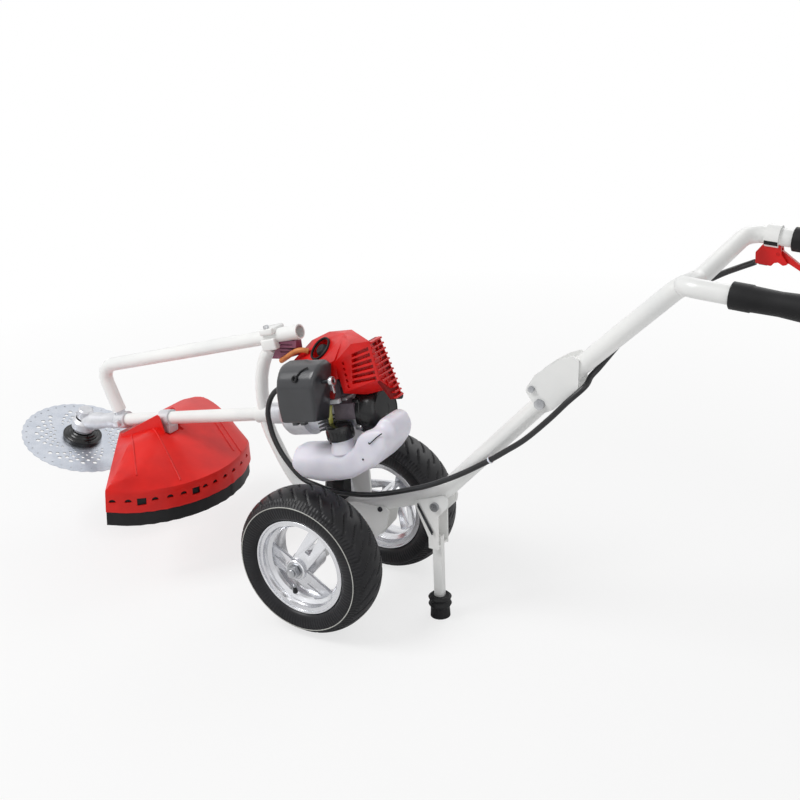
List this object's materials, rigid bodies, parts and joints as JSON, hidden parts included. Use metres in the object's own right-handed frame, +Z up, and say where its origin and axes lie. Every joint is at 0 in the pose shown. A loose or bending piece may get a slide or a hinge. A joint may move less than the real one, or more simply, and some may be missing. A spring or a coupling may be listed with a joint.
{
  "type": "hand-push brush cutter",
  "caption": "Two-wheel hand-push brush cutter: small two-stroke engine over the axle, straight shaft to a perforated disc at the front, red guard, forked push handle.",
  "frame": {"origin": "middle of the stand foot's flat underside, on the ground", "axes": "+X backwards to the operator, along the longest extent; +Y to the machine's right hand seen from the operator; +Z up"},
  "size_m": [1.7006, 0.4602, 0.7644],
  "materials": {
    "frame_white": "white powder coat, slightly glossy",
    "rim_silver": "silver painted die-cast wheel",
    "tyre_rubber": "matt black tread and sidewall",
    "soft_rubber": "matt black moulded rubber",
    "cable_black": "black corrugated conduit",
    "black_plastic": "charcoal moulded plastic",
    "red_plastic": "glossy red moulded plastic",
    "tank_white": "milky white polyethylene",
    "hose_yellow": "yellow-green clear fuel hose",
    "cast_alloy": "bare die-cast aluminium",
    "disc_steel": "ground steel disc",
    "bare_steel": "zinc plated steel"
  },
  "bodies": {
    "chassis": {"axle_shaft": "bare_steel", "left_axle_nut": "bare_steel", "right_axle_nut": "bare_steel", "base_bracket": "frame_white", "main_tube": "frame_white", "hoop_frame": "frame_white", "arm_tube": "frame_white", "arm_clamp_cap": "frame_white", "arm_clamp_bolt": "bare_steel", "shaft_clamp": "cast_alloy", "shaft_tube": "frame_white", "gear_head": "cast_alloy", "guard": "red_plastic", "guard_edge": "soft_rubber", "guard_clamp": "cast_alloy", "crankcase": "cast_alloy", "cylinder": "cast_alloy", "spark_plug_boot": "soft_rubber", "clutch_housing": "cast_alloy", "starter_housing": "black_plastic", "engine_shroud": "red_plastic", "carburettor": "cast_alloy", "air_filter_cover": "black_plastic", "muffler": "bare_steel", "fuel_tank": "tank_white", "fuel_line": "hose_yellow", "tank_buffer": "soft_rubber", "engine_post": "frame_white", "stand_pivot_bolt": "bare_steel", "handle_pivot_bolt": "bare_steel", "throttle_cable": "cable_black"},
    "left_wheel": {"left_tyre": "tyre_rubber", "left_rim": "rim_silver", "left_outer_bearing": "bare_steel", "left_inner_bearing": "bare_steel"},
    "right_wheel": {"right_tyre": "tyre_rubber", "right_rim": "rim_silver", "right_outer_bearing": "bare_steel", "right_inner_bearing": "bare_steel"},
    "stand": {"stand_leg": "frame_white", "stand_foot": "soft_rubber"},
    "handle": {"handle_frame": "frame_white", "left_pivot_plate": "frame_white", "right_pivot_plate": "frame_white", "angle_lock_bolt": "bare_steel", "left_grip": "soft_rubber", "right_grip": "soft_rubber", "throttle_housing": "red_plastic"},
    "trigger": {"throttle_trigger": "red_plastic"},
    "stop_button": {"stop_switch": "black_plastic"},
    "blade": {"output_spindle": "bare_steel", "dust_cup": "black_plastic", "blade_disc": "disc_steel", "blade_nut": "bare_steel"},
    "drive": {"drive_shaft": "bare_steel", "clutch_drum": "bare_steel"},
    "crank": {"crankshaft": "bare_steel"},
    "pull_grip": {"starter_grip": "black_plastic"},
    "tank_cap": {"fuel_cap": "black_plastic"},
    "choke": {"choke_lever": "bare_steel"}
  },
  "joints": [
    {"name": "left_wheel_spin", "type": "hinge", "parent": "chassis", "child": "left_wheel", "pos_m": [-0.1905, -0.14, 0.141], "axis": [0, 1, 0], "continuous": true},
    {"name": "right_wheel_spin", "type": "hinge", "parent": "chassis", "child": "right_wheel", "pos_m": [-0.1905, 0.14, 0.141], "axis": [0, 1, 0], "continuous": true},
    {"name": "stand_fold", "type": "hinge", "parent": "chassis", "child": "stand", "pos_m": [0.0065, 0, 0.237], "axis": [0, -1, 0], "range_deg": [0, 90]},
    {"name": "handle_tilt", "type": "hinge", "parent": "chassis", "child": "handle", "pos_m": [0.2125, 0, 0.472], "axis": [0, 1, 0], "range_deg": [-15, 15], "deforming": ["throttle_cable"]},
    {"name": "throttle_squeeze", "type": "hinge", "parent": "handle", "child": "trigger", "pos_m": [0.53873, 0.163, 0.71739], "axis": [0, -1, 0], "range_deg": [0, 14], "stiffness_Nm_per_rad": 0.5},
    {"name": "stop_press", "type": "slide", "parent": "handle", "child": "stop_button", "axis": [0.0698, 0, 0.9976], "range_m": [0, 0.0008], "stiffness_N_per_m": 200},
    {"name": "blade_spin", "type": "hinge", "parent": "chassis", "child": "blade", "pos_m": [-0.87454, 0, 0.23733], "axis": [0.319, 0, 0.9478], "continuous": true},
    {"name": "drive_spin", "type": "hinge", "parent": "chassis", "child": "drive", "pos_m": [-0.1905, 0, 0.3836], "axis": [0.9779, 0, 0.2091], "continuous": true},
    {"name": "crank_spin", "type": "hinge", "parent": "chassis", "child": "crank", "pos_m": [-0.1905, 0, 0.3836], "axis": [0.9779, 0, 0.2091], "continuous": true},
    {"name": "starter_pull", "type": "slide", "parent": "chassis", "child": "pull_grip", "axis": [0, 1, 0], "range_m": [0, 0.6], "stiffness_N_per_m": 8},
    {"name": "cap_turn", "type": "hinge", "parent": "chassis", "child": "tank_cap", "pos_m": [-0.16188, -0.058, 0.35495], "axis": [-0.2091, 0, 0.9779], "range_deg": [0, 180]},
    {"name": "choke_turn", "type": "hinge", "parent": "chassis", "child": "choke", "pos_m": [-0.15496, -0.088, 0.4771], "axis": [0.9779, 0, 0.2091], "range_deg": [0, 75]}
  ],
  "couplings": [
    {"joint": "drive_spin", "follows": "blade_spin", "ratio": 1.3571},
    {"joint": "crank_spin", "follows": "blade_spin", "ratio": 1.3571}
  ]
}
